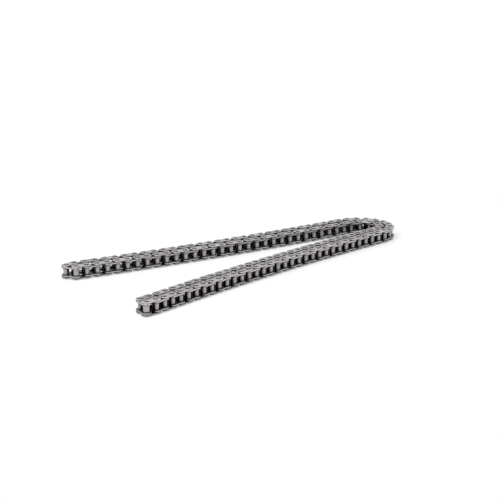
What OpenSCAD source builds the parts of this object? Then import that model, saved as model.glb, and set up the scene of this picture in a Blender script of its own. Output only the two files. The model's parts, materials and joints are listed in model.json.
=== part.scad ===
// Endless simplex timing chain, folded in two and lying on the ends of its pins.
// Outer links (two plates riveted on two pins) alternate with inner links (two plates pressed on two bushes).

/* [Link] */
// Distance between neighbouring pins
pitch = 9.525; // [9:0.025:12.7]
// Height of every plate across its round ends
plate_height = 8.1; // [7:0.05:8.3]
// How much narrower a plate is at its waist
waist_cut = 1; // [0.5:0.05:1.6]
// Thickness of an inner plate
inner_plate_t = 1.3; // [1:0.05:1.6]
// Thickness of an outer plate
outer_plate_t = 1.2; // [1:0.05:1.6]
// Clear width between the inner plates, where the sprocket tooth goes
inner_width = 5.72; // [4.5:0.02:7]

/* [Pins and bushes] */
// Pin diameter
pin_d = 3.6; // [3:0.05:3.9]
// Wall of a bush
bush_wall = 0.69; // [0.5:0.01:0.9]
// Length of the riveted pin end outside the plate
pin_end = 1; // [0.6:0.05:1.3]
// Radial gap between pin and bush
running_gap = 0.05; // [0.02:0.01:0.09]
// Radial allowance of the pressed pins and bushes in their plates
press_gap = 0.01; // [0.005:0.005:0.02]
// Gap between an inner and an outer plate
side_gap = 0.1; // [0.05:0.01:0.3]

/* [Fold] */
// Links of one strand of the far arm
far_links = 31; // [31:2:39]
// Links of one strand of the near arm
near_links = 33; // [31:2:39]
// Links round the inside of the fold
inside_links = 5; // [5:2:7]
// Links round the outside of the fold
outside_links = 9; // [9:2:11]
// Width of the inside of the fold in pitches
fold_width = 3.58; // [3.4:0.02:3.7]
// Direction across the fold from far arm to near arm
fold_direction = -82.7; // [-86:0.1:-80]
// Direction of the far arm at the fold
far_direction = 3.7; // [2:0.1:6]
// Bend of the far arm at each pin
far_curl = 0.25; // [0.1:0.01:0.3]
// Direction of the near arm at the fold
near_direction = 11.4; // [9:0.1:14]
// Bend of the near arm at each pin
near_curl = 0.23; // [0.1:0.01:0.3]
// Distance between the two strands of the far arm
far_spacing = 11.4; // [10.5:0.1:12.5]
// How far the outside strand of the far arm lies ahead, towards its free end
far_ahead = 6.5; // [5:0.1:7]
// Distance between the two strands of the near arm
near_spacing = 10; // [9.5:0.1:10.8]
// How far the outside strand of the near arm lies ahead, towards its free end
near_ahead = 3.8; // [3:0.1:5]

/* [Hidden] */
$fn = 48;
plate_r = plate_height / 2;
waist_r = (plate_height - waist_cut) / 2;
// a flank meets both round ends, and the web between the ends is a little narrower than where they meet
web_share = 0.975;
flank_r = (pitch * pitch / 4 + waist_r * waist_r - plate_r * plate_r) / waist_cut;
web_r = web_share * plate_r * (waist_r + flank_r) / (plate_r + flank_r);
pin_r = pin_d / 2;
bush_bore_r = pin_r + running_gap;
bush_r = bush_bore_r + bush_wall;
rivet_r = 0.8 * pin_r;
rivet_bevel = 0.3 * pin_end;
dimple_r = 0.4 * pin_r;
dimple_depth = 0.25 * pin_end;

lower_outer_z = pin_end;
lower_inner_z = lower_outer_z + outer_plate_t + side_gap;
tooth_z = lower_inner_z + inner_plate_t;
upper_inner_z = tooth_z + inner_width;
upper_outer_z = upper_inner_z + inner_plate_t + side_gap;
pin_length = upper_outer_z + outer_plate_t + pin_end;
bush_length = inner_width + 2 * inner_plate_t;

// links that stay with the fold, links of a swinging pair and links of a run between two pairs
fold_stay = 3;
swing_links = 2;
run_links = 4;
swing_count = 5;
swing_step = swing_links + run_links;

function ray(angle) = [cos(angle), sin(angle)];

// sum of count unit steps, the first at angle and each next one turned by turn
function walk(count, angle, turn) =
    turn == 0 ? count * ray(angle) :
    sin(count * turn / 2) / sin(turn / 2) * ray(angle + (count - 1) * turn / 2);

// equal turn that lets count links span a distance of span pitches, found by halving
function even_turn(count, span, low, high, rounds) =
    rounds == 0 ? (low + high) / 2 :
    sin(count * (low + high) / 4) / sin((low + high) / 4) > span ?
    even_turn(count, span, (low + high) / 2, high, rounds - 1) :
    even_turn(count, span, low, (low + high) / 2, rounds - 1);

// pins of an arc of count links from start to finish, turning left
function bend(start, finish, count) =
    let (across = finish - start)
    let (turn = even_turn(count, norm(across) / pitch, 0.01, 359 / count, 60))
    let (first = atan2(across[1], across[0]) - (count - 1) * turn / 2)
    [for (i = [0:count]) start + pitch * walk(i, first, turn)];

// pins of a strand of count links that ends at finish, listed from its free end
function strand(finish, count, angle, turn) =
    [for (k = [0:count]) finish - pitch * walk(count - k, angle, turn)];

function moved(pins, by) = [for (p = pins) p + by];
function part_of(pins, first, last) = [for (k = [first:last]) pins[k]];
function backward(pins) = [for (k = [len(pins) - 1:-1:0]) pins[k]];
function after_first(pins) = part_of(pins, 1, len(pins) - 1);

// pin that is one link away from pins a and b, on the left of the way from a to b
function link_tip(a, b) =
    let (across = b - a)
    let (reach = sqrt(pitch * pitch - across * across / 4))
    (a + b) / 2 + reach * [-across[1], across[0]] / norm(across);

// the outside strand of an arm is its inside strand moved as a whole, but for the pin at the free end
far_end = far_direction - (far_links - 1) * far_curl;
near_end = near_direction + (near_links - 1) * near_curl;
far_offset = far_spacing * ray(far_end + 90) - far_ahead * ray(far_end);
near_offset = near_spacing * ray(near_end - 90) - near_ahead * ray(near_end);

far_in_raw = strand([0, 0], far_links, far_direction, -far_curl);
near_in_raw = strand(pitch * fold_width * ray(fold_direction), near_links, near_direction, near_curl);
far_out_rest = moved(after_first(far_in_raw), far_offset);
near_out_rest = moved(after_first(near_in_raw), near_offset);
far_out_raw = concat([link_tip(far_in_raw[0], far_out_rest[0])], far_out_rest);
near_out_raw = concat([link_tip(near_out_rest[0], near_in_raw[0])], near_out_rest);
inside_raw = bend(near_in_raw[near_links], far_in_raw[far_links], inside_links);
outside_raw = bend(near_out_raw[near_links], far_out_raw[far_links], outside_links);

// the loop is centred on the middle of its outline
all_raw = concat(far_in_raw, near_in_raw, far_out_raw, near_out_raw, inside_raw, outside_raw);
all_x = [for (p = all_raw) p[0]];
all_y = [for (p = all_raw) p[1]];
centre = [(min(all_x) + max(all_x)) / 2, (min(all_y) + max(all_y)) / 2];
far_in = moved(far_in_raw, -centre);
far_out = moved(far_out_raw, -centre);
near_in = moved(near_in_raw, -centre);
near_out = moved(near_out_raw, -centre);
inside = moved(inside_raw, -centre);
outside = moved(outside_raw, -centre);

// pins of each rigid group of links
far_stay = far_links - fold_stay;
near_stay = near_links - fold_stay;
function swing_start(stay, i) = stay - swing_links - (i - 1) * swing_step;
function swing_pins(pins, stay, i) =
    part_of(pins, swing_start(stay, i), swing_start(stay, i) + swing_links);
function run_pins(pins, stay, i) =
    part_of(pins, swing_start(stay, i) - run_links, swing_start(stay, i));
far_tip_end = swing_start(far_stay, swing_count);
near_tip_end = swing_start(near_stay, swing_count);
far_tip_pins = concat(backward(part_of(far_out, 0, far_tip_end)), part_of(far_in, 0, far_tip_end));
near_tip_pins = concat(backward(part_of(near_out, 0, near_tip_end)), part_of(near_in, 0, near_tip_end));
function fold_pins(near, arc, far) = concat(
    part_of(near, near_stay, near_links),
    after_first(arc),
    after_first(backward(part_of(far, far_stay, far_links))));
outside_pins = fold_pins(near_out, outside, far_out);
inside_pins = fold_pins(near_in, inside, far_in);

plate_colour = [0.62, 0.61, 0.6];
pin_colour = [0.72, 0.72, 0.73];
bush_colour = [0.55, 0.55, 0.56];

// waisted plate from pin a to pin b, its round ends joined by two hollow flanks
module plate(a, b, z, thick, hole_r) {
    translate([a[0], a[1], z])
    rotate(atan2(b[1] - a[1], b[0] - a[0]))
    linear_extrude(thick)
    difference() {
        union() {
            circle(plate_r);
            translate([pitch, 0])
            circle(plate_r);
            translate([0, -web_r])
            square([pitch, 2 * web_r]);
        }
        for (side = [-1, 1]) {
            translate([pitch / 2, side * (waist_r + flank_r)])
            circle(flank_r);
        }
        circle(hole_r);
        translate([pitch, 0])
        circle(hole_r);
    }
}

// pin with both ends peened over, and the dimple that the riveting tool leaves
module pin(at) {
    translate([at[0], at[1], 0])
    rotate_extrude()
    polygon([
        [0, dimple_depth],
        [dimple_r, 0],
        [rivet_r, 0],
        [pin_r, rivet_bevel],
        [pin_r, pin_length - rivet_bevel],
        [rivet_r, pin_length],
        [dimple_r, pin_length],
        [0, pin_length - dimple_depth]
    ]);
}

module bush(at) {
    translate([at[0], at[1], lower_inner_z])
    rotate_extrude()
    translate([bush_bore_r, 0])
    square([bush_wall, bush_length]);
}

// links of a list of pins: every second one, from start, is of the kind wanted
module outer_plates(pins, start, z) {
    for (k = [start:2:len(pins) - 2]) {
        plate(pins[k], pins[k + 1], z, outer_plate_t, pin_r + press_gap);
    }
}

module inner_plates(pins, start, z) {
    for (k = [start:2:len(pins) - 2]) {
        plate(pins[k], pins[k + 1], z, inner_plate_t, bush_r + press_gap);
    }
}

module link_pins(pins, start) {
    for (k = [start:2:len(pins) - 2]) {
        pin(pins[k]);
        pin(pins[k + 1]);
    }
}

module link_bushes(pins, start) {
    for (k = [start:2:len(pins) - 2]) {
        bush(pins[k]);
        bush(pins[k + 1]);
    }
}

// whole links, the first of them an outer one
module links(pins) {
    color(plate_colour)
    outer_plates(pins, 0, upper_outer_z);
    color(plate_colour)
    outer_plates(pins, 0, lower_outer_z);
    color(plate_colour)
    inner_plates(pins, 1, upper_inner_z);
    color(plate_colour)
    inner_plates(pins, 1, lower_inner_z);
    color(pin_colour)
    link_pins(pins, 0);
    color(bush_colour)
    link_bushes(pins, 1);
}

// the outside of the fold starts and ends with an outer link
module outside_fold_upper_outer_plates() {
    color(plate_colour)
    outer_plates(outside_pins, 0, upper_outer_z);
}

module outside_fold_lower_outer_plates() {
    color(plate_colour)
    outer_plates(outside_pins, 0, lower_outer_z);
}

module outside_fold_upper_inner_plates() {
    color(plate_colour)
    inner_plates(outside_pins, 1, upper_inner_z);
}

module outside_fold_lower_inner_plates() {
    color(plate_colour)
    inner_plates(outside_pins, 1, lower_inner_z);
}

module outside_fold_pins() {
    color(pin_colour)
    link_pins(outside_pins, 0);
}

module outside_fold_bushes() {
    color(bush_colour)
    link_bushes(outside_pins, 1);
}

// so does the inside of the fold
module inside_fold_upper_outer_plates() {
    color(plate_colour)
    outer_plates(inside_pins, 0, upper_outer_z);
}

module inside_fold_lower_outer_plates() {
    color(plate_colour)
    outer_plates(inside_pins, 0, lower_outer_z);
}

module inside_fold_upper_inner_plates() {
    color(plate_colour)
    inner_plates(inside_pins, 1, upper_inner_z);
}

module inside_fold_lower_inner_plates() {
    color(plate_colour)
    inner_plates(inside_pins, 1, lower_inner_z);
}

module inside_fold_pins() {
    color(pin_colour)
    link_pins(inside_pins, 0);
}

module inside_fold_bushes() {
    color(bush_colour)
    link_bushes(inside_pins, 1);
}

// the end of an arm starts and ends with an inner link
module far_tip_upper_outer_plates() {
    color(plate_colour)
    outer_plates(far_tip_pins, 1, upper_outer_z);
}

module far_tip_lower_outer_plates() {
    color(plate_colour)
    outer_plates(far_tip_pins, 1, lower_outer_z);
}

module far_tip_upper_inner_plates() {
    color(plate_colour)
    inner_plates(far_tip_pins, 0, upper_inner_z);
}

module far_tip_lower_inner_plates() {
    color(plate_colour)
    inner_plates(far_tip_pins, 0, lower_inner_z);
}

module far_tip_pins() {
    color(pin_colour)
    link_pins(far_tip_pins, 1);
}

module far_tip_bushes() {
    color(bush_colour)
    link_bushes(far_tip_pins, 0);
}

module near_tip_upper_outer_plates() {
    color(plate_colour)
    outer_plates(near_tip_pins, 1, upper_outer_z);
}

module near_tip_lower_outer_plates() {
    color(plate_colour)
    outer_plates(near_tip_pins, 1, lower_outer_z);
}

module near_tip_upper_inner_plates() {
    color(plate_colour)
    inner_plates(near_tip_pins, 0, upper_inner_z);
}

module near_tip_lower_inner_plates() {
    color(plate_colour)
    inner_plates(near_tip_pins, 0, lower_inner_z);
}

module near_tip_pins() {
    color(pin_colour)
    link_pins(near_tip_pins, 1);
}

module near_tip_bushes() {
    color(bush_colour)
    link_bushes(near_tip_pins, 0);
}

module far_outer_pair_1() {
    links(swing_pins(far_out, far_stay, 1));
}

module far_outer_pair_2() {
    links(swing_pins(far_out, far_stay, 2));
}

module far_outer_pair_3() {
    links(swing_pins(far_out, far_stay, 3));
}

module far_outer_pair_4() {
    links(swing_pins(far_out, far_stay, 4));
}

module far_outer_pair_5() {
    links(swing_pins(far_out, far_stay, 5));
}

module far_outer_run_1() {
    links(run_pins(far_out, far_stay, 1));
}

module far_outer_run_2() {
    links(run_pins(far_out, far_stay, 2));
}

module far_outer_run_3() {
    links(run_pins(far_out, far_stay, 3));
}

module far_outer_run_4() {
    links(run_pins(far_out, far_stay, 4));
}

module far_inner_pair_1() {
    links(swing_pins(far_in, far_stay, 1));
}

module far_inner_pair_2() {
    links(swing_pins(far_in, far_stay, 2));
}

module far_inner_pair_3() {
    links(swing_pins(far_in, far_stay, 3));
}

module far_inner_pair_4() {
    links(swing_pins(far_in, far_stay, 4));
}

module far_inner_pair_5() {
    links(swing_pins(far_in, far_stay, 5));
}

module far_inner_run_1() {
    links(run_pins(far_in, far_stay, 1));
}

module far_inner_run_2() {
    links(run_pins(far_in, far_stay, 2));
}

module far_inner_run_3() {
    links(run_pins(far_in, far_stay, 3));
}

module far_inner_run_4() {
    links(run_pins(far_in, far_stay, 4));
}

module near_outer_pair_1() {
    links(swing_pins(near_out, near_stay, 1));
}

module near_outer_pair_2() {
    links(swing_pins(near_out, near_stay, 2));
}

module near_outer_pair_3() {
    links(swing_pins(near_out, near_stay, 3));
}

module near_outer_pair_4() {
    links(swing_pins(near_out, near_stay, 4));
}

module near_outer_pair_5() {
    links(swing_pins(near_out, near_stay, 5));
}

module near_outer_run_1() {
    links(run_pins(near_out, near_stay, 1));
}

module near_outer_run_2() {
    links(run_pins(near_out, near_stay, 2));
}

module near_outer_run_3() {
    links(run_pins(near_out, near_stay, 3));
}

module near_outer_run_4() {
    links(run_pins(near_out, near_stay, 4));
}

module near_inner_pair_1() {
    links(swing_pins(near_in, near_stay, 1));
}

module near_inner_pair_2() {
    links(swing_pins(near_in, near_stay, 2));
}

module near_inner_pair_3() {
    links(swing_pins(near_in, near_stay, 3));
}

module near_inner_pair_4() {
    links(swing_pins(near_in, near_stay, 4));
}

module near_inner_pair_5() {
    links(swing_pins(near_in, near_stay, 5));
}

module near_inner_run_1() {
    links(run_pins(near_in, near_stay, 1));
}

module near_inner_run_2() {
    links(run_pins(near_in, near_stay, 2));
}

module near_inner_run_3() {
    links(run_pins(near_in, near_stay, 3));
}

module near_inner_run_4() {
    links(run_pins(near_in, near_stay, 4));
}

outside_fold_upper_outer_plates();
outside_fold_lower_outer_plates();
outside_fold_upper_inner_plates();
outside_fold_lower_inner_plates();
outside_fold_pins();
outside_fold_bushes();
inside_fold_upper_outer_plates();
inside_fold_lower_outer_plates();
inside_fold_upper_inner_plates();
inside_fold_lower_inner_plates();
inside_fold_pins();
inside_fold_bushes();
far_tip_upper_outer_plates();
far_tip_lower_outer_plates();
far_tip_upper_inner_plates();
far_tip_lower_inner_plates();
far_tip_pins();
far_tip_bushes();
near_tip_upper_outer_plates();
near_tip_lower_outer_plates();
near_tip_upper_inner_plates();
near_tip_lower_inner_plates();
near_tip_pins();
near_tip_bushes();
far_outer_pair_1();
far_outer_pair_2();
far_outer_pair_3();
far_outer_pair_4();
far_outer_pair_5();
far_outer_run_1();
far_outer_run_2();
far_outer_run_3();
far_outer_run_4();
far_inner_pair_1();
far_inner_pair_2();
far_inner_pair_3();
far_inner_pair_4();
far_inner_pair_5();
far_inner_run_1();
far_inner_run_2();
far_inner_run_3();
far_inner_run_4();
near_outer_pair_1();
near_outer_pair_2();
near_outer_pair_3();
near_outer_pair_4();
near_outer_pair_5();
near_outer_run_1();
near_outer_run_2();
near_outer_run_3();
near_outer_run_4();
near_inner_pair_1();
near_inner_pair_2();
near_inner_pair_3();
near_inner_pair_4();
near_inner_pair_5();
near_inner_run_1();
near_inner_run_2();
near_inner_run_3();
near_inner_run_4();
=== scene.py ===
import json
import math
import random

import bpy
import numpy as np
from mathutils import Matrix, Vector

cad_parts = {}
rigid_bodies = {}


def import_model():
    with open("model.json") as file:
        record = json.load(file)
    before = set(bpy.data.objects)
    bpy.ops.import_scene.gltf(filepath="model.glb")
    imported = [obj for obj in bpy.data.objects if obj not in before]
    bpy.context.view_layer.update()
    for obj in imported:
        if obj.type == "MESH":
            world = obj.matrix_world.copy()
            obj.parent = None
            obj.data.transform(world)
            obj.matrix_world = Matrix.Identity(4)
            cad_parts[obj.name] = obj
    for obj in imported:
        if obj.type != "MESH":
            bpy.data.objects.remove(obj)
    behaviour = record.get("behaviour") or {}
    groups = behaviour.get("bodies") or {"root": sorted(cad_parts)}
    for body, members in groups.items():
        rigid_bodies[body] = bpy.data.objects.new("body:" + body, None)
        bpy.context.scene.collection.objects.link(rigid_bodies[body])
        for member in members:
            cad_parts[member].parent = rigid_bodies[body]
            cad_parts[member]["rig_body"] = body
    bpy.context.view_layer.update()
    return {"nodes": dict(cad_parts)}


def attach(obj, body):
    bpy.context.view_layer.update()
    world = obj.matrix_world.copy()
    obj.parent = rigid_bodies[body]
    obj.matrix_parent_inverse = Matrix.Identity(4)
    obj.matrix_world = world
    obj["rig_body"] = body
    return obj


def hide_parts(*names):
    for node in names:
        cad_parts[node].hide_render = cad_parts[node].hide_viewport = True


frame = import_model()
mm = 0.001


def toLinear(hexColour):
    channels = [int(hexColour[i:i + 2], 16) / 255 for i in (1, 3, 5)]
    return [c / 12.92 if c <= 0.04045 else ((c + 0.055) / 1.055) ** 2.4 for c in channels] + [1.0]


# one node with its settings, and its inputs set to a value or joined to another node's output;
# an input is given by its name, or as i0, i1 and so on by its number
def addNode(tree, kind, settings=None, **inputs):
    node = tree.nodes.new(kind)
    for name, value in (settings or {}).items():
        setattr(node, name, value)
    for name, value in inputs.items():
        key = int(name[1:]) if name[0] == "i" and name[1:].isdigit() else name.replace("_", " ")
        socket = node.inputs[key]
        if isinstance(value, bpy.types.NodeSocket):
            tree.links.new(value, socket)
        else:
            socket.default_value = value
    return node


def newMaterial(name):
    material = bpy.data.materials.new(name)
    material.use_nodes = True
    material.node_tree.nodes.clear()
    return material, material.node_tree


def finishMaterial(tree, shader):
    addNode(tree, "ShaderNodeOutputMaterial", Surface=shader.outputs[0])


# the camera stands where the picture was taken from, worked out from the spacing of the bushes
photoView = {
    "azimuth": -34.52,  # degrees from straight in front, less than 0 to the left
    "elevation": 14.08,
    "distance": 1164.2 * mm,
    "lookAt": (5.43 * mm, 36.69 * mm, 6.46 * mm),
    "imageWidth": 500,
    "focalPixels": 1299.0,
    "sensor": 36.0,
}


def placeCamera(p):
    turn, rise = math.radians(p["azimuth"]), math.radians(p["elevation"])
    back = Vector((math.sin(turn) * math.cos(rise), -math.cos(turn) * math.cos(rise), math.sin(rise)))
    data = bpy.data.cameras.new("photoCamera")
    data.sensor_width = p["sensor"]
    data.lens = p["sensor"] * p["focalPixels"] / p["imageWidth"]
    camera = bpy.data.objects.new("photoCamera", data)
    camera.location = Vector(p["lookAt"]) + back * p["distance"]
    camera.rotation_mode = "QUATERNION"
    camera.rotation_quaternion = (-back).to_track_quat("-Z", "Y")
    bpy.context.scene.collection.objects.link(camera)
    bpy.context.scene.camera = camera


placeCamera(photoView)
print("camera placed")


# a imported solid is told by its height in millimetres: pins are the longest, then bushes, then plates,
# of which the outer ones lie near the ends of the pins
solidSigns = {
    "weldDigits": 3,
    "pinOver": 10.0,
    "bushOver": 4.0,
    "outerWithin": 1.6,
}


# the separate solids of a CAD node, as arrays of their corners in millimetres
def solidsOf(node):
    mesh = frame["nodes"][node].data
    places = np.empty(len(mesh.vertices) * 3, np.float32)
    mesh.vertices.foreach_get("co", places)
    places = places.reshape(-1, 3).astype(float) / mm
    mesh.calc_loop_triangles()
    corners = np.empty(len(mesh.loop_triangles) * 3, np.int32)
    mesh.loop_triangles.foreach_get("vertices", corners)
    points, same = np.unique(np.round(places, solidSigns["weldDigits"]), axis=0, return_inverse=True)
    corners = same.reshape(-1)[corners].reshape(-1, 3)
    label = np.arange(len(points))
    while True:  # the least label spreads over the triangles until each solid has one
        least = label[corners].min(axis=1)
        before = label.copy()
        for side in range(3):
            np.minimum.at(label, corners[:, side], least)
        label = label[label]
        if np.array_equal(label, before):
            break
    return [points[label == which] for which in np.unique(label)]


def sortSolid(points):
    low, high = points.min(axis=0), points.max(axis=0)
    height = high[2] - low[2]
    kind = "pin" if height > solidSigns["pinOver"] else "bush" if height > solidSigns["bushOver"] else "plate"
    return {"kind": kind, "middle": (low + high) / 2, "low": low[2], "height": height, "high": high[2]}


nodeSolids = {name: [sortSolid(points) for points in solidsOf(name)] for name in frame["nodes"]}
allSolids = [solid for solids in nodeSolids.values() for solid in solids]
axes = np.array([s["middle"][:2] for s in allSolids if s["kind"] == "pin"])
pinLength = max(s["high"] for s in allSolids)
for solid in allSolids:
    if solid["kind"] == "plate":  # it lies over the two pins that are nearest to its middle
        away = np.hypot(*(axes - solid["middle"][:2]).T)
        ends = axes[np.argsort(away)[:2]]
        solid["ends"] = ends[np.lexsort((ends[:, 1], ends[:, 0]))]
        solid["outer"] = min(solid["low"], pinLength - solid["high"]) < solidSigns["outerWithin"]
topPlates = max(s["low"] for s in allSolids)
pitch = np.mean([np.hypot(*(s["ends"][1] - s["ends"][0])) for s in allSolids if s["kind"] == "plate"])
print("solids found:", len(allSolids), "pitch", round(float(pitch), 3), "mm")

finishOrder = ["plateFace", "blankedEdge", "pin", "bush"]


# faces of a shape as one flat list of corners, with the size, finish and shading of each face
def packShape(points, faces):
    return {
        "points": np.array(points, float),
        "corners": np.array([c for face, _, _ in faces for c in face], np.int64),
        "sizes": np.array([len(face) for face, _, _ in faces], np.int64),
        "finishes": np.array([finishOrder.index(finish) for _, finish, _ in faces], np.int64),
        "smooth": np.array([soft for _, _, soft in faces], bool),
    }


# a link plate is blanked from strip: the punch rolls the outward edge over and leaves a small burr behind
linkPlate = {
    "height": 8.1,
    "waistCut": 1.0,
    "rolledEdge": 0.2,
    "rollAngles": [30, 60, 90],
    "burrBevel": 0.06,
    "holeBevel": 0.07,
    "pinHole": 1.81,
    "bushHole": 2.55,
    "flankSegments": 4,
    "endSegments": 24,
    "waistSegments": 4,
    "weldDigits": 6,
}


# the right half of the outline from the top of the waist to its bottom, with the outward normals
def plateOutline(p):
    half, end, waist = pitch / 2, p["height"] / 2, (p["height"] - p["waistCut"]) / 2
    flank = (half ** 2 + waist ** 2 - end ** 2) / p["waistCut"]
    lean = math.atan2(half, waist + flank)
    places, normals = [], []
    for a in np.linspace(0, lean, p["flankSegments"] + 1)[:-1]:
        places.append((flank * math.sin(a), waist + flank - flank * math.cos(a)))
        normals.append((-math.sin(a), math.cos(a)))
    for a in np.linspace(math.pi / 2 + lean, 0, p["endSegments"] // 2 + 1):
        places.append((half + end * math.cos(a), end * math.sin(a)))
        normals.append((math.cos(a), math.sin(a)))
    lower = slice(-2, None, -1)
    mirror = np.array([1, -1])
    return (np.vstack([places, np.array(places)[lower] * mirror]),
            np.vstack([normals, np.array(normals)[lower] * mirror]))


def plateShape(p, thick, holeRadius):
    rim, normal = plateOutline(p)
    count, waist, half = len(rim), rim[0][1], pitch / 2
    middle = np.linspace(-waist, waist, p["waistSegments"] + 1)[1:-1]
    loop = np.vstack([rim, [(0, y) for y in middle]])
    turn = np.arctan2(loop[:, 1], loop[:, 0] - half)
    total = len(loop)
    roll, burr, bevel = p["rolledEdge"], p["burrBevel"], p["holeBevel"]
    rimLevels = [(burr, 0), (0, burr), (0, thick - roll)]
    rimLevels += [(roll * (1 - math.cos(a)), thick - roll + roll * math.sin(a))
                  for a in np.radians(p["rollAngles"])]
    holeLevels = [(bevel, 0), (0, bevel), (0, thick - bevel), (bevel, thick)]
    points, faces = [], []

    def ring(xy, z):
        points.extend((x, y, z) for x, y in xy)
        return range(len(points) - len(xy), len(points))

    for sign in (1, -1):  # the left half is the right half turned round
        walls = [ring(sign * (rim - normal * inset), z) for inset, z in rimLevels]
        spine = [ring([(0, sign * y * (1 - inset / waist)) for y in middle], z)
                 for inset, z in (rimLevels[0], rimLevels[-1])]
        holes = [ring(sign * np.column_stack([half + (holeRadius + wide) * np.cos(turn),
                                              (holeRadius + wide) * np.sin(turn)]), z)
                 for wide, z in holeLevels]
        under, over = [*walls[0], *spine[0]], [*walls[-1], *spine[1]]
        for i in range(total):
            j = (i + 1) % total
            faces.append(((over[i], holes[-1][i], holes[-1][j], over[j]), "plateFace", False))
            faces.append(((under[j], holes[0][j], holes[0][i], under[i]), "plateFace", False))
            for a, b in zip(holes, holes[1:]):
                faces.append(((a[i], a[j], b[j], b[i]), "blankedEdge", True))
        for i in range(count - 1):
            for a, b in zip(walls, walls[1:]):
                faces.append(((a[i + 1], a[i], b[i], b[i + 1]), "blankedEdge", True))
    welded, same = np.unique(np.round(points, p["weldDigits"]), axis=0, return_inverse=True)
    same = same.reshape(-1)
    return packShape(welded, [(tuple(same[c] for c in face), finish, soft) for face, finish, soft in faces])


# a profile of radius and height turned round the axis; flat round faces close ends that stop short of it
def latheShape(profile, segments, finish, closedTube=False):
    points, faces = [], []
    for radius, z in profile:
        for a in np.arange(segments) * 2 * math.pi / segments:
            points.append((radius * math.cos(a), radius * math.sin(a), z))
    rows = len(profile)
    for k in range(rows if closedTube else rows - 1):
        low, high = k * segments, (k + 1) % rows * segments
        for i in range(segments):
            j = (i + 1) % segments
            faces.append(((low + i, low + j, high + j, high + i), finish, True))
    if not closedTube:
        faces.append((tuple(reversed(range(segments))), finish, True))
        faces.append((tuple(range((rows - 1) * segments, rows * segments)), finish, True))
    return packShape(points, faces)


# a pin is peened by a spinning tool: a rounded shoulder, a raised rim and a cup in the middle;
# the end is given as radius and depth below the tip
linkPin = {
    "segments": 28,
    "end": [(1.8, 0.62), (1.77, 0.42), (1.68, 0.25), (1.53, 0.11), (1.34, 0.03), (1.16, 0.0),
            (1.02, 0.02), (0.86, 0.1), (0.64, 0.2), (0.38, 0.25), (0.12, 0.26)],
}

# a bush is a ground tube with its ends broken
linkBush = {
    "outer": 2.54,
    "bore": 1.85,
    "length": 8.32,
    "bevel": 0.12,
    "segments": 32,
}


def pinShape(p):
    lower = list(reversed(p["end"]))
    upper = [(r, pinLength - z) for r, z in p["end"]]
    return latheShape(lower + upper, p["segments"], "pin")


def bushShape(p):
    outer, bore, bevel, length = p["outer"], p["bore"], p["bevel"], p["length"]
    profile = [(bore, bevel), (bore + bevel, 0), (outer - bevel, 0), (outer, bevel), (outer, length - bevel),
               (outer - bevel, length), (bore + bevel, length), (bore, length - bevel)]
    return latheShape(profile, p["segments"], "bush", closedTube=True)


outerThick = min(s["height"] for s in allSolids)
innerThick = max(s["height"] for s in allSolids if s["kind"] == "plate")
shapes = {
    "outerPlate": plateShape(linkPlate, outerThick, linkPlate["pinHole"]),
    "innerPlate": plateShape(linkPlate, innerThick, linkPlate["bushHole"]),
    "pin": pinShape(linkPin),
    "bush": bushShape(linkBush),
}
print("shapes:", {name: len(s["sizes"]) for name, s in shapes.items()})


# painted shade: where the links hide each other from the light (between the links, on the flanks of the
# bushes and in the seams under each plate) the colour is painted towards near-black from ambient occlusion,
# which also dims their reflections; the highest plates are left without it
paintedShade = {
    "colour": "#0b0a0a",
    "recess": {"reachMm": 12.0, "fullShadeBelow": 0.36, "noShadeAbove": 0.58},
    "flank": {"reachMm": 12.0, "fullShadeBelow": 0.48, "noShadeAbove": 0.7},
    "seam": {"reachMm": 1.8, "fullShadeBelow": 0.6, "noShadeAbove": 0.92},
    "rays": 6,
    "exemptFadeMm": 0.5,
}


# painted shade for each place, from ambient occlusion; the first place's shade is left off the highest
# plates, and the others are shaded everywhere
def paintShade(tree, colour, places):
    openLevels = []
    for place in places:
        p = paintedShade[place]
        openness = addNode(tree, "ShaderNodeAmbientOcclusion", {"samples": paintedShade["rays"]},
                           Distance=p["reachMm"] * mm).outputs["AO"]
        openLevels.append(addNode(tree, "ShaderNodeMapRange", None, i0=openness, i1=p["fullShadeBelow"],
                             i2=p["noShadeAbove"]).outputs[0])
    rise = addNode(tree, "ShaderNodeAttribute", {"attribute_name": "riseMm"}).outputs["Fac"]
    topExempt = addNode(tree, "ShaderNodeMapRange", None, i0=rise, i1=topPlates,
                    i2=topPlates + paintedShade["exemptFadeMm"]).outputs[0]
    litShare = addNode(tree, "ShaderNodeMath", {"operation": "MAXIMUM"}, i0=openLevels[0], i1=topExempt).outputs[0]
    for level in openLevels[1:]:
        litShare = addNode(tree, "ShaderNodeMath", {"operation": "MULTIPLY"}, i0=litShare, i1=level).outputs[0]
    # the painted shade colour is mixed in where the level is low
    return addNode(tree, "ShaderNodeMix", {"data_type": "RGBA"},
                   i0=litShare, i6=toLinear(paintedShade["colour"]), i7=colour).outputs[2]


seedSpread = 90.0  # sets the patterns of two solids far apart


# what every steel reads: the place on its solid in millimetres, the solid's tone from 0 to 1,
# and a pattern seed made from the tone
def readSolid(tree):
    local = addNode(tree, "ShaderNodeAttribute", {"attribute_name": "localMm"}).outputs["Vector"]
    tone = addNode(tree, "ShaderNodeAttribute", {"attribute_name": "tone"}).outputs["Fac"]
    seed = addNode(tree, "ShaderNodeMath", {"operation": "MULTIPLY"}, i0=tone, i1=seedSpread).outputs[0]
    return local, tone, seed


def finishSteel(tree, colour, shadePlaces, rough, bump):
    shader = addNode(tree, "ShaderNodeBsdfPrincipled", None, Base_Color=paintShade(tree, colour, shadePlaces),
                     Metallic=1.0, Roughness=rough, Normal=bump)
    finishMaterial(tree, shader)


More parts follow.
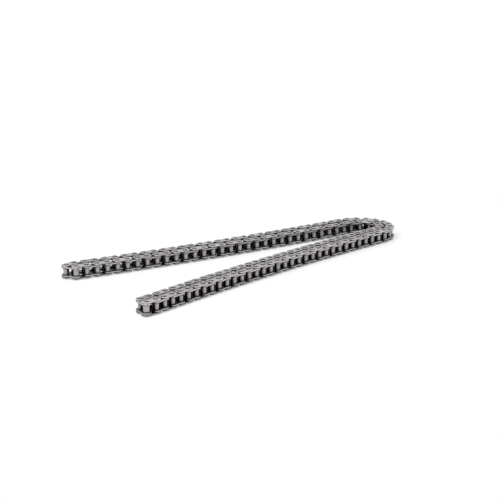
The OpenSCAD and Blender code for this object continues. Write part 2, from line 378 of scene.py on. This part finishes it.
# plate faces: hardened cold-rolled strip, tumbled with stones and oiled, which gives a satin grey with
# faint clouds, rolling lines along the link, a fine pitted grain and each plate a little lighter or darker
# than the next
plateSteel = {
    "dark": "#898687",
    "light": "#c2bfbf",
    "contrast": (0.22, 0.78),
    "wornShare": 0.6,
    "lineShare": 0.4,
    "roughness": (0.34, 0.5),
    "wornRange": (0.35, 0.65),
    "cloudMm": 3.5,
    "lineMm": 0.3,
    "lineStretch": 12.0,
    "grainMm": 0.35,
    "grainDepthMm": 0.012,
    "grainStrength": 0.5,
}


def makePlateSteel(p):
    material, tree = newMaterial("plateSteel")
    local, tone, seed = readSolid(tree)
    cloud = addNode(tree, "ShaderNodeTexNoise", {"noise_dimensions": "4D"},
                    Vector=local, W=seed, Scale=1 / p["cloudMm"], Detail=3.0).outputs["Fac"]
    grain = addNode(tree, "ShaderNodeTexNoise", {"noise_dimensions": "4D"},
                    Vector=local, W=seed, Scale=1 / p["grainMm"], Detail=2.0).outputs["Fac"]
    # the real lines are a tenth as wide, drawn coarser so that they show
    drawn = addNode(tree, "ShaderNodeVectorMath", {"operation": "MULTIPLY"}, i0=local,
                    i1=(1 / p["lineStretch"], 1.0, 1.0)).outputs[0]
    line = addNode(tree, "ShaderNodeTexNoise", {"noise_dimensions": "4D"},
                   Vector=drawn, W=seed, Scale=1 / p["lineMm"], Detail=2.0).outputs["Fac"]
    worn = addNode(tree, "ShaderNodeMix", {"data_type": "FLOAT"},
                   i0=p["lineShare"], i2=cloud, i3=line).outputs[0]
    share = addNode(tree, "ShaderNodeMix", {"data_type": "FLOAT"},
                    i0=p["wornShare"], i2=tone, i3=worn).outputs[0]
    spread = addNode(tree, "ShaderNodeMapRange", None,
                     i0=share, i1=p["contrast"][0], i2=p["contrast"][1]).outputs[0]
    colour = addNode(tree, "ShaderNodeMix", {"data_type": "RGBA"},
                     i0=spread, i6=toLinear(p["dark"]), i7=toLinear(p["light"])).outputs[2]
    rough = addNode(tree, "ShaderNodeMapRange", None, i0=worn, i1=p["wornRange"][0], i2=p["wornRange"][1],
                    i3=p["roughness"][1], i4=p["roughness"][0]).outputs[0]
    bump = addNode(tree, "ShaderNodeBump", None, Strength=p["grainStrength"],
                   Distance=p["grainDepthMm"] * mm, Height=grain).outputs[0]
    # painted shade in the recesses and in the seams under each plate
    finishSteel(tree, colour, ["recess", "seam"], rough, bump)
    return material


# blanked edges: the punch burnishes the first two thirds bright and tears the rest, which stays dull and dark
edgeSteel = {
    "burnished": "#c4c0c1",
    "torn": "#4a4748",
    "burnishedRoughness": 0.28,
    "tornRoughness": 0.55,
    "tornMm": 0.4,
    "tornFadeMm": 0.3,
    "tornWobbleMm": 0.35,
    "streakMm": 0.12,
    "streakSqueeze": 0.16,
    "streakDepthMm": 0.01,
    "streakStrength": 0.4,
}


def makeEdgeSteel(p):
    material, tree = newMaterial("edgeSteel")
    local, _, seed = readSolid(tree)
    # the streaks run with the punch, so the pattern is drawn out six times along z
    upright = addNode(tree, "ShaderNodeVectorMath", {"operation": "MULTIPLY"}, i0=local,
                      i1=(1.0, 1.0, p["streakSqueeze"])).outputs[0]
    streak = addNode(tree, "ShaderNodeTexNoise", {"noise_dimensions": "4D"},
                     Vector=upright, W=seed, Scale=1 / p["streakMm"], Detail=2.0).outputs["Fac"]
    height = addNode(tree, "ShaderNodeSeparateXYZ", None, Vector=local).outputs["Z"]
    wobble = addNode(tree, "ShaderNodeMath", {"operation": "MULTIPLY_ADD"},
                     i0=streak, i1=p["tornWobbleMm"], i2=height).outputs[0]
    band = addNode(tree, "ShaderNodeMapRange", {"interpolation_type": "SMOOTHSTEP"}, i0=wobble,
                   i1=p["tornMm"], i2=p["tornMm"] + p["tornFadeMm"]).outputs[0]
    colour = addNode(tree, "ShaderNodeMix", {"data_type": "RGBA"},
                     i0=band, i6=toLinear(p["torn"]), i7=toLinear(p["burnished"])).outputs[2]
    rough = addNode(tree, "ShaderNodeMix", {"data_type": "FLOAT"}, i0=band, i2=p["tornRoughness"],
                    i3=p["burnishedRoughness"]).outputs[0]
    bump = addNode(tree, "ShaderNodeBump", None, Strength=p["streakStrength"],
                   Distance=p["streakDepthMm"] * mm, Height=streak).outputs[0]
    # painted shade in the recesses and in the seams under each plate
    finishSteel(tree, colour, ["recess", "seam"], rough, bump)
    return material


# pins: ground bar; the spinning tool leaves fine bright rings on the end, round a cup painted near-black as
# painted shade, and the shoulder below them stays dull
pinSteel = {
    "shoulder": "#757273",
    "bright": "#dddadb",
    # the cup colour is painted shade in the hollow of the peened end
    "cup": "#161515",
    "cupRadiusMm": 0.92,
    "brightRadiusMm": 1.58,
    "bandFadeMm": 0.1,
    "roughness": (0.16, 0.32),
    "ringRange": (0.3, 0.7),
    "ringMm": 0.14,
    "ringDepthMm": 0.01,
    "ringStrength": 0.4,
}


def makePinSteel(p):
    material, tree = newMaterial("pinSteel")
    local, _, seed = readSolid(tree)
    flat = addNode(tree, "ShaderNodeVectorMath", {"operation": "MULTIPLY"},
                   i0=local, i1=(1.0, 1.0, 0.0)).outputs[0]
    radius = addNode(tree, "ShaderNodeVectorMath", {"operation": "LENGTH"}, i0=flat).outputs["Value"]
    place = addNode(tree, "ShaderNodeCombineXYZ", None, X=radius, Y=seed).outputs[0]
    ring = addNode(tree, "ShaderNodeTexNoise", None,
                   Vector=place, Scale=1 / p["ringMm"], Detail=2.0).outputs["Fac"]
    # the colour starts from the painted shade of the cup
    colour = toLinear(p["cup"])
    for name, start in (("bright", p["cupRadiusMm"]), ("shoulder", p["brightRadiusMm"])):
        beyond = addNode(tree, "ShaderNodeMapRange", {"interpolation_type": "SMOOTHSTEP"}, i0=radius,
                         i1=start - p["bandFadeMm"], i2=start + p["bandFadeMm"]).outputs[0]
        colour = addNode(tree, "ShaderNodeMix", {"data_type": "RGBA"},
                         i0=beyond, i6=colour, i7=toLinear(p[name])).outputs[2]
    rough = addNode(tree, "ShaderNodeMapRange", None, i0=ring, i1=p["ringRange"][0], i2=p["ringRange"][1],
                    i3=p["roughness"][0], i4=p["roughness"][1]).outputs[0]
    bump = addNode(tree, "ShaderNodeBump", None, Strength=p["ringStrength"],
                   Distance=p["ringDepthMm"] * mm, Height=ring).outputs[0]
    # painted shade in the recesses
    finishSteel(tree, colour, ["recess"], rough, bump)
    return material


# bushes: tube ground between centres, so fine lines run round it and it shines in upright streaks
bushSteel = {
    "dark": "#9d989a",
    "light": "#bcb8b9",
    "roughness": (0.2, 0.34),
    "lineRange": (0.3, 0.7),
    "lineMm": 0.1,
    "lineSqueeze": 0.06,
    "lineDepthMm": 0.005,
    "lineStrength": 0.3,
}


def makeBushSteel(p):
    material, tree = newMaterial("bushSteel")
    local, _, seed = readSolid(tree)
    # the lines run round the tube, so the pattern is drawn out along x and y
    around = addNode(tree, "ShaderNodeVectorMath", {"operation": "MULTIPLY"}, i0=local,
                     i1=(p["lineSqueeze"], p["lineSqueeze"], 1.0)).outputs[0]
    line = addNode(tree, "ShaderNodeTexNoise", {"noise_dimensions": "4D"},
                   Vector=around, W=seed, Scale=1 / p["lineMm"], Detail=2.0).outputs["Fac"]
    colour = addNode(tree, "ShaderNodeMix", {"data_type": "RGBA"},
                     i0=line, i6=toLinear(p["dark"]), i7=toLinear(p["light"])).outputs[2]
    rough = addNode(tree, "ShaderNodeMapRange", None, i0=line, i1=p["lineRange"][0], i2=p["lineRange"][1],
                    i3=p["roughness"][0], i4=p["roughness"][1]).outputs[0]
    bump = addNode(tree, "ShaderNodeBump", None, Strength=p["lineStrength"],
                   Distance=p["lineDepthMm"] * mm, Height=line).outputs[0]
    # painted shade on the flanks of the bushes, where they face their neighbours
    finishSteel(tree, colour, ["flank"], rough, bump)
    return material


finishes = {
    "plateFace": makePlateSteel(plateSteel),
    "blankedEdge": makeEdgeSteel(edgeSteel),
    "pin": makePinSteel(pinSteel),
    "bush": makeBushSteel(bushSteel),
}
print("materials:", [m.name for m in finishes.values()])


# where a shape goes for one solid: its points turned along the link and set at the solid's height
def placeShape(solid):
    if solid["kind"] != "plate":
        shape = shapes[solid["kind"]]
        return shape, shape["points"] + [*solid["middle"][:2], solid["low"]], False
    shape = shapes["outerPlate" if solid["outer"] else "innerPlate"]
    a, b = solid["ends"]
    along = (b - a) / np.hypot(*(b - a))
    x, y, z = shape["points"].T
    flipped = solid["middle"][2] < pinLength / 2
    z = solid["high"] - z if flipped else solid["low"] + z
    places = np.column_stack([x * along[0] - y * along[1], x * along[1] + y * along[0], z])
    return shape, places + [*(a + b) / 2, 0], flipped


dressing = {
    "toneSeed": 11,
    "sharpAngle": 38,
    "slots": ("pins", "bushes", "plates"),
    "mixedSlot": "links",
}


def buildPiece(node, chance):
    points, local, tones, corners, sizes, numbers, smooth = [], [], [], [], [], [], []
    start = 0
    for solid in nodeSolids[node]:
        shape, places, flipped = placeShape(solid)
        order = shape["corners"]
        if flipped:
            ends = np.cumsum(shape["sizes"])
            order = np.concatenate([order[e - n:e][::-1] for e, n in zip(ends, shape["sizes"])])
        points.append(places * mm)
        local.append(shape["points"])
        tones.append(np.full(len(places), chance.random()))
        corners.append(order + start)
        sizes.append(shape["sizes"])
        numbers.append(shape["finishes"])
        smooth.append(shape["smooth"])
        start += len(places)
    points, local, tones = np.vstack(points), np.vstack(local), np.concatenate(tones)
    corners, sizes = np.concatenate(corners), np.concatenate(sizes)
    mesh = bpy.data.meshes.new(node + "_steel")
    mesh.vertices.add(len(points))
    mesh.vertices.foreach_set("co", points.astype(np.float32).ravel())
    mesh.loops.add(len(corners))
    mesh.loops.foreach_set("vertex_index", corners.astype(np.int32))
    mesh.polygons.add(len(sizes))
    mesh.polygons.foreach_set("loop_start", (np.cumsum(sizes) - sizes).astype(np.int32))
    for name in finishOrder:
        mesh.materials.append(finishes[name])
    mesh.polygons.foreach_set("material_index", np.concatenate(numbers).astype(np.int32))
    mesh.polygons.foreach_set("use_smooth", np.concatenate(smooth))
    mesh.update(calc_edges=True)
    for name, kind, field, values in (("localMm", "FLOAT_VECTOR", "vector", local),
                                      ("tone", "FLOAT", "value", tones),
                                      ("riseMm", "FLOAT", "value", points[:, 2] / mm)):
        layer = mesh.attributes.new(name, kind, "POINT")
        layer.data.foreach_set(field, values.astype(np.float32).ravel())
    mesh.set_sharp_from_angle(angle=math.radians(dressing["sharpAngle"]))
    piece = bpy.data.objects.new(node + "_steel", mesh)
    bpy.context.scene.collection.objects.link(piece)
    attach(piece, frame["nodes"][node]["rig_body"])
    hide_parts(node)
    return piece


chance = random.Random(dressing["toneSeed"])
pieces = [buildPiece(node, chance) for node in sorted(nodeSolids)]
print("pieces:", len(pieces), "faces", sum(len(p.data.polygons) for p in pieces))


# a pale floor and plain soft light: a wide lamp above on the left of the camera, and an even surround
studio = {
    "floor": "#f2f2f2",
    "floorRadius": 3.0,
    "floorSides": 96,
    "fadeFrom": 0.22,
    "fadeTo": 0.42,
    "floorLift": 0.42,
    "surround": 0.55,
    "lampPower": 5.0,
    "lampSize": 0.7,
    "lampPlace": (-0.8, -0.5, 0.8),
}
plainWhite = (1, 1, 1, 1)


# 1 for what the camera sees, straight, in a reflection or through a clear piece
def seenRays(tree):
    path = addNode(tree, "ShaderNodeLightPath")
    first = addNode(tree, "ShaderNodeMath", {"operation": "MAXIMUM"},
                    i0=path.outputs["Is Camera Ray"], i1=path.outputs["Is Glossy Ray"]).outputs[0]
    return addNode(tree, "ShaderNodeMath", {"operation": "MAXIMUM"},
                   i0=first, i1=path.outputs["Is Transmission Ray"]).outputs[0]


# the paint keeps the chain's shadow, and further out it fades to plain white
def makeFloor(p):
    material, tree = newMaterial("floorPaint")
    seen = seenRays(tree)
    place = addNode(tree, "ShaderNodeNewGeometry").outputs["Position"]
    away = addNode(tree, "ShaderNodeVectorMath", {"operation": "LENGTH"}, i0=place).outputs["Value"]
    fade = addNode(tree, "ShaderNodeMapRange", {"interpolation_type": "SMOOTHSTEP"}, i0=away,
                   i1=p["fadeFrom"], i2=p["fadeTo"]).outputs[0]
    paint = addNode(tree, "ShaderNodeBsdfDiffuse", None, Color=toLinear(p["floor"]))
    liftLevel = addNode(tree, "ShaderNodeMath", {"operation": "MULTIPLY"},
                        i0=seen, i1=p["floorLift"]).outputs[0]
    lift = addNode(tree, "ShaderNodeEmission", None, Color=plainWhite, Strength=liftLevel)
    near = addNode(tree, "ShaderNodeAddShader", None, i0=paint.outputs[0], i1=lift.outputs[0])
    white = addNode(tree, "ShaderNodeEmission", None, Color=plainWhite, Strength=1.0)
    fadeSeen = addNode(tree, "ShaderNodeMath", {"operation": "MULTIPLY"}, i0=fade, i1=seen).outputs[0]
    both = addNode(tree, "ShaderNodeMixShader", None, i0=fadeSeen, i1=near.outputs[0], i2=white.outputs[0])
    finishMaterial(tree, both)
    bpy.ops.mesh.primitive_circle_add(vertices=p["floorSides"], radius=p["floorRadius"], fill_type="NGON")
    floor = bpy.context.object
    floor.name = "studioFloor"
    floor.data.materials.append(material)


def makeLight(p):
    world = bpy.data.worlds.new("studioSurround")
    world.use_nodes = True
    tree = world.node_tree
    tree.nodes.clear()
    level = addNode(tree, "ShaderNodeMapRange", None, i0=seenRays(tree), i3=p["surround"], i4=1.0).outputs[0]
    sky = addNode(tree, "ShaderNodeBackground", None, Color=plainWhite, Strength=level)
    addNode(tree, "ShaderNodeOutputWorld", Surface=sky.outputs[0])
    bpy.context.scene.world = world

    lamp = bpy.data.lights.new("softLamp", "AREA")
    lamp.shape = "DISK"
    lamp.size = p["lampSize"]
    lamp.energy = p["lampPower"]
    holder = bpy.data.objects.new("softLamp", lamp)
    holder.location = p["lampPlace"]
    holder.rotation_mode = "QUATERNION"
    holder.rotation_quaternion = (-Vector(p["lampPlace"])).to_track_quat("-Z", "Y")
    bpy.context.scene.collection.objects.link(holder)


makeFloor(studio)
makeLight(studio)
bpy.context.scene.view_settings.view_transform = "Standard"
print("stage ready")
